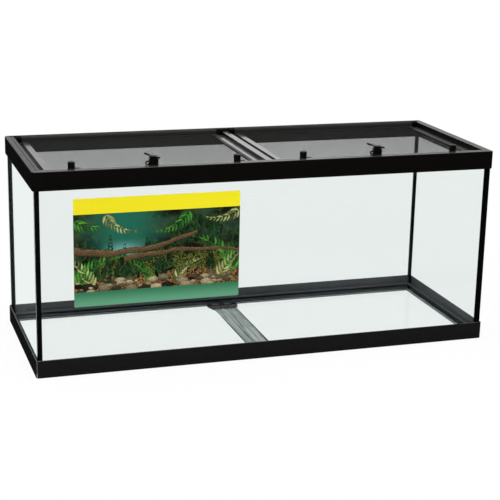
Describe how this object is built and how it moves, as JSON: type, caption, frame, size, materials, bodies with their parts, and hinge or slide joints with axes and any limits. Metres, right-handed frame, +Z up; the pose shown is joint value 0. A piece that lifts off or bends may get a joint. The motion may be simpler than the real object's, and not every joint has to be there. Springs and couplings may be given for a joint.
{
  "type": "reptile terrarium",
  "caption": "Long glass reptile terrarium in black frames, with hinged screen lids, turn knobs, padlock latches and a printed front label.",
  "frame": {"origin": "middle of the footprint, on the surface that the tank stands on", "axes": "+X along the length to the right, +Y from the front to the back, +Z up"},
  "size_m": [1.232, 0.47, 0.5496],
  "materials": {
    "black_plastic": "gloss",
    "clear_glass": "clear",
    "black_silicone": "satin",
    "brace_plastic": "satin",
    "screen_wire": "satin black coating",
    "screw_steel": "satin",
    "label_print": "gloss print"
  },
  "bodies": {
    "tank": {"bottom_frame": "black_plastic", "bottom_brace": "brace_plastic", "top_front_rail": "black_plastic", "top_back_rail": "black_plastic", "top_left_rail": "black_plastic", "top_right_rail": "black_plastic", "top_centre_bar": "black_plastic", "left_lid_ledges": "black_plastic", "right_lid_ledges": "black_plastic", "left_hinge_sockets": "black_plastic", "right_hinge_sockets": "black_plastic", "base_glass": "clear_glass", "front_glass": "clear_glass", "back_glass": "clear_glass", "left_glass": "clear_glass", "right_glass": "clear_glass", "front_left_seal": "black_silicone", "front_right_seal": "black_silicone", "back_left_seal": "black_silicone", "back_right_seal": "black_silicone", "base_seal": "black_silicone", "front_label": "label_print"},
    "left_lid": {"left_lid_frame": "black_plastic", "left_screen": "screen_wire", "left_screen_strip": "black_plastic", "left_latch_housing": "black_plastic", "left_housing_screws": "screw_steel"},
    "left_outer_knob": {"left_lid_outer_knob": "black_plastic", "left_lid_outer_tongue": "black_plastic", "left_lid_outer_screw": "screw_steel"},
    "left_inner_knob": {"left_lid_inner_knob": "black_plastic", "left_lid_inner_tongue": "black_plastic", "left_lid_inner_screw": "screw_steel"},
    "left_latch": {"left_latch_lever": "black_plastic", "left_latch_tongue": "black_plastic", "left_latch_screw": "screw_steel"},
    "right_lid": {"right_lid_frame": "black_plastic", "right_screen": "screen_wire", "right_screen_strip": "black_plastic", "right_latch_housing": "black_plastic", "right_housing_screws": "screw_steel"},
    "right_outer_knob": {"right_lid_outer_knob": "black_plastic", "right_lid_outer_tongue": "black_plastic", "right_lid_outer_screw": "screw_steel"},
    "right_inner_knob": {"right_lid_inner_knob": "black_plastic", "right_lid_inner_tongue": "black_plastic", "right_lid_inner_screw": "screw_steel"},
    "right_latch": {"right_latch_lever": "black_plastic", "right_latch_tongue": "black_plastic", "right_latch_screw": "screw_steel"}
  },
  "joints": [
    {"name": "left_lid_hinge", "type": "hinge", "parent": "tank", "child": "left_lid", "pos_m": [-0.301, 0.2045, 0.5235], "axis": [-1, 0, 0], "range_deg": [0, 180]},
    {"name": "left_outer_knob_turn", "type": "hinge", "parent": "left_lid", "child": "left_outer_knob", "pos_m": [-0.513, -0.1955, 0.516], "axis": [0, 0, 1], "range_deg": [0, 90]},
    {"name": "left_inner_knob_turn", "type": "hinge", "parent": "left_lid", "child": "left_inner_knob", "pos_m": [-0.089, -0.1955, 0.516], "axis": [0, 0, 1], "range_deg": [0, 90]},
    {"name": "left_latch_turn", "type": "hinge", "parent": "left_lid", "child": "left_latch", "pos_m": [-0.307, -0.1955, 0.516], "axis": [0, 0, 1], "range_deg": [0, 90]},
    {"name": "right_lid_hinge", "type": "hinge", "parent": "tank", "child": "right_lid", "pos_m": [0.301, 0.2045, 0.5235], "axis": [-1, 0, 0], "range_deg": [0, 180]},
    {"name": "right_outer_knob_turn", "type": "hinge", "parent": "right_lid", "child": "right_outer_knob", "pos_m": [0.513, -0.1955, 0.516], "axis": [0, 0, 1], "range_deg": [0, 90]},
    {"name": "right_inner_knob_turn", "type": "hinge", "parent": "right_lid", "child": "right_inner_knob", "pos_m": [0.089, -0.1955, 0.516], "axis": [0, 0, 1], "range_deg": [0, 90]},
    {"name": "right_latch_turn", "type": "hinge", "parent": "right_lid", "child": "right_latch", "pos_m": [0.295, -0.1955, 0.516], "axis": [0, 0, 1], "range_deg": [0, 90]}
  ]
}
